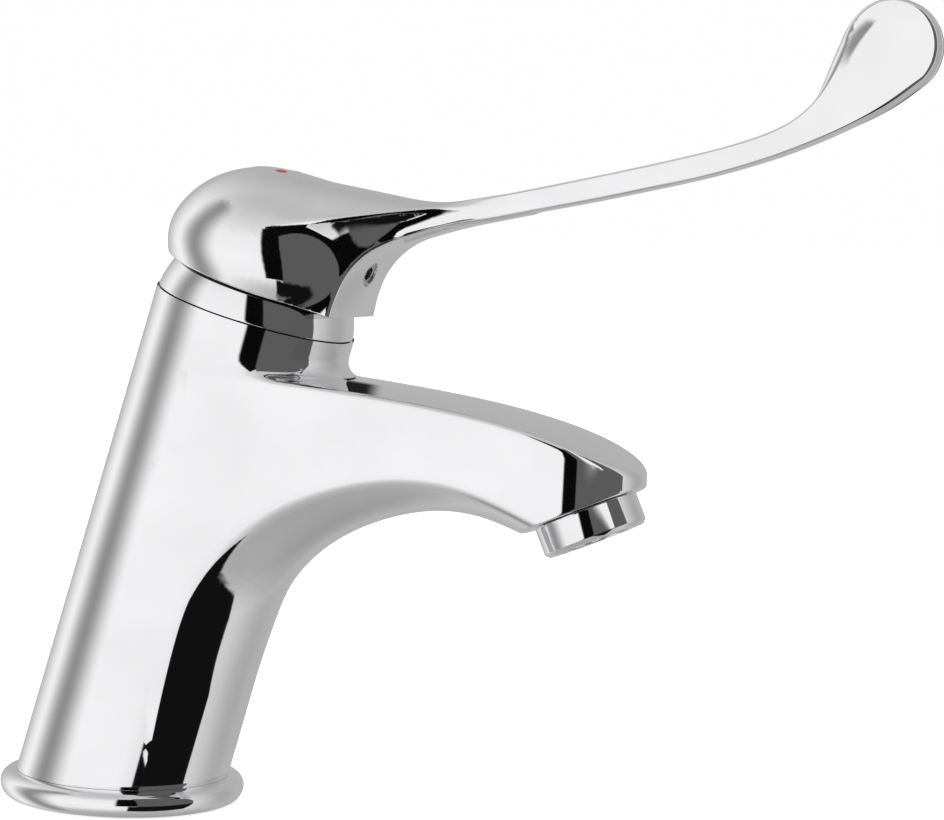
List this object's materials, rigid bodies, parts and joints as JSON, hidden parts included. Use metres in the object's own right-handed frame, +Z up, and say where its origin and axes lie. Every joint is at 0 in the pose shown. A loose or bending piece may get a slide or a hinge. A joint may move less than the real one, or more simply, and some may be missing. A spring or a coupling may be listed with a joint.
{
  "type": "elbow lever tap",
  "caption": "Basin mixer tap with a leaning body, a low spout with an aerator and a long elbow lever that ends in a paddle.",
  "frame": {"origin": "on the deck, in the centre of the tap hole under the body", "axes": "+Z up from the deck, +X towards the spout's mouth, Y across"},
  "size_m": [0.2092, 0.056, 0.1859],
  "materials": {
    "chrome": "mirror bright plate on cast metal, with fine wipe marks",
    "rubber": "matt black",
    "white_plastic": "moulded, white",
    "grey_plastic": "moulded, grey",
    "red_plastic": "moulded, red",
    "black_plastic": "moulded, black",
    "steel": "drawn stainless steel",
    "ceramic": "lapped sealing faces",
    "brass": "turned",
    "red_enamel": "glossy",
    "blue_enamel": "glossy"
  },
  "bodies": {
    "root": {"body": "chrome", "base_ring": "chrome", "base_seal": "rubber", "aerator_housing": "chrome", "aerator_insert": "white_plastic", "aerator_screens": "steel", "aerator_washer": "rubber", "cartridge_base": "grey_plastic", "port_seals": "rubber", "housing_seal": "rubber", "cartridge_housing": "grey_plastic", "fixed_disc": "ceramic", "glide_ring": "white_plastic", "limit_ring": "red_plastic", "cartridge_nut": "brass", "collar": "chrome", "collar_seal": "rubber"},
    "rotor": {"rotor_guide": "white_plastic", "stem_pin": "steel"},
    "lever": {"stem": "steel", "handle_insert": "black_plastic", "handle_screw": "steel", "handle": "chrome", "hot_mark": "red_enamel", "cold_mark": "blue_enamel"},
    "slider": {"disc_carrier": "white_plastic", "moving_disc": "ceramic"}
  },
  "joints": [
    {"name": "lever_turn", "type": "hinge", "parent": "root", "child": "rotor", "pos_m": [0.02907, 0, 0.11375], "axis": [0.2605, 0, 0.9655], "range_deg": [-45, 45]},
    {"name": "lever_lift", "type": "hinge", "parent": "rotor", "child": "lever", "pos_m": [0.02829, 0, 0.11085], "axis": [0, -1, 0], "range_deg": [0, 20]},
    {"name": "disc_slide", "type": "slide", "parent": "rotor", "child": "slider", "axis": [0.9655, 0, -0.2605], "range_m": [0, 0.00313]}
  ],
  "couplings": [
    {"joint": "disc_slide", "follows": "lever_lift", "m_per_rad": 0.008949}
  ]
}
